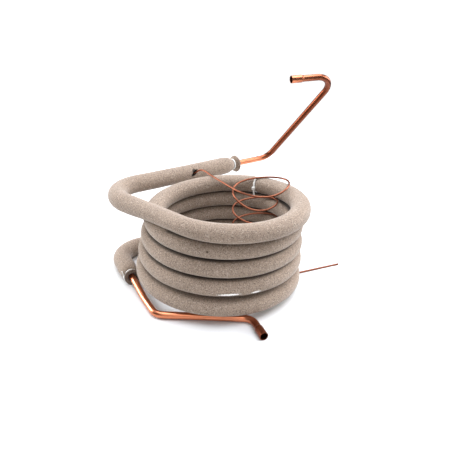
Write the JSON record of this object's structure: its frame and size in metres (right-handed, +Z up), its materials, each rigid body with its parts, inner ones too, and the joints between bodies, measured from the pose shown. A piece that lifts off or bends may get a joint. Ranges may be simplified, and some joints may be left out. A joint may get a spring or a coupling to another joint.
{
  "type": "insulated heat exchange coil",
  "caption": "Standing coil of foam-sleeved copper suction tube with two bare swaged copper ends and a thin capillary tube looped inside and soldered to its upper leg",
  "frame": {"origin": "On the axis of the coil, in the plane that the coil stands on", "axes": "+Z is up along the coil's axis, +Y is away from the camera towards the upper leg's end, +X is to the right"},
  "size_m": [0.3413, 0.3754, 0.2672],
  "materials": {
    "copper": "drawn copper, bright with brown tarnish",
    "foam": "matte, fine closed cells",
    "nylon": "satin",
    "solder": "dull, as it set"
  },
  "bodies": {
    "root": {"upper_leg": "copper", "coil_tube": "copper", "lower_leg": "copper", "upper_sleeve": "foam", "lower_sleeve": "foam", "capillary_tube": "copper", "solder_joint": "solder", "upper_end_tie": "nylon", "joint_tie": "nylon", "lower_end_tie": "nylon"}
  },
  "joints": []
}
